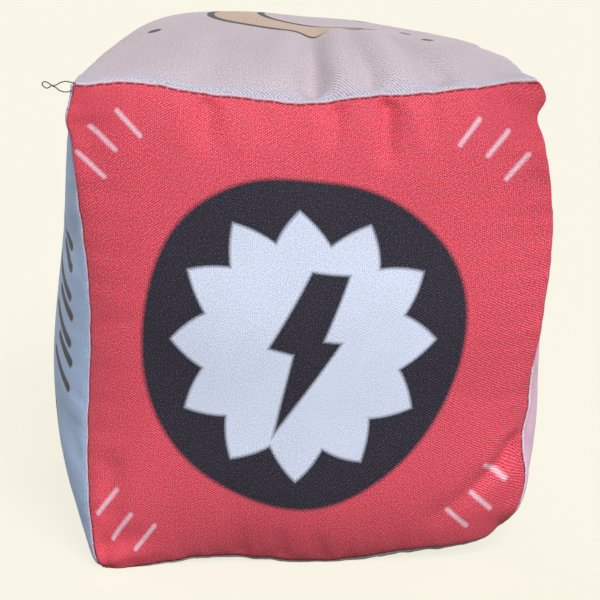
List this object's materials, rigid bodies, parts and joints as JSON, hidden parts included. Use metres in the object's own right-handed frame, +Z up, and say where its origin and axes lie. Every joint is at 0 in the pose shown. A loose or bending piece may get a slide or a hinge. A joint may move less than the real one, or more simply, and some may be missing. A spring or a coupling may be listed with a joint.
{
  "type": "soft toy cube",
  "caption": "Stuffed cloth cube sewn from printed square panels, each in its own colour, with crowned faces and drawn-in seams, for learning about feelings.",
  "frame": {"origin": "middle of the flat patch under the bottom panel, where the cube stands", "axes": "+Z up, the front (red) panel towards -Y, the blue panel towards -X"},
  "size_m": [0.1322, 0.1335, 0.1377],
  "materials": {
    "red_cloth": "printed polyester twill, soft sheen",
    "yellow_cloth": "printed polyester twill, soft sheen",
    "blue_cloth": "printed polyester twill, soft sheen",
    "pink_cloth": "printed polyester twill, soft sheen",
    "lilac_cloth": "printed polyester twill, soft sheen",
    "pale_cloth": "printed polyester twill, soft sheen",
    "fibre_filling": "loose white polyester fibre",
    "sewing_thread": "matt spun thread"
  },
  "bodies": {
    "root": {"front_panel": "red_cloth", "back_panel": "yellow_cloth", "left_panel": "blue_cloth", "right_panel": "pink_cloth", "top_panel": "lilac_cloth", "bottom_panel": "pale_cloth", "filling": "fibre_filling", "seam_thread_front_top": "sewing_thread", "seam_thread_front_bottom": "sewing_thread", "seam_thread_front_left": "sewing_thread", "seam_thread_front_right": "sewing_thread", "seam_thread_back_top": "sewing_thread", "seam_thread_back_bottom": "sewing_thread", "seam_thread_back_left": "sewing_thread", "seam_thread_back_right": "sewing_thread", "seam_thread_top_left": "sewing_thread", "seam_thread_top_right": "sewing_thread", "seam_thread_bottom_left": "sewing_thread", "seam_thread_bottom_right": "sewing_thread", "loose_thread": "sewing_thread"}
  },
  "joints": []
}
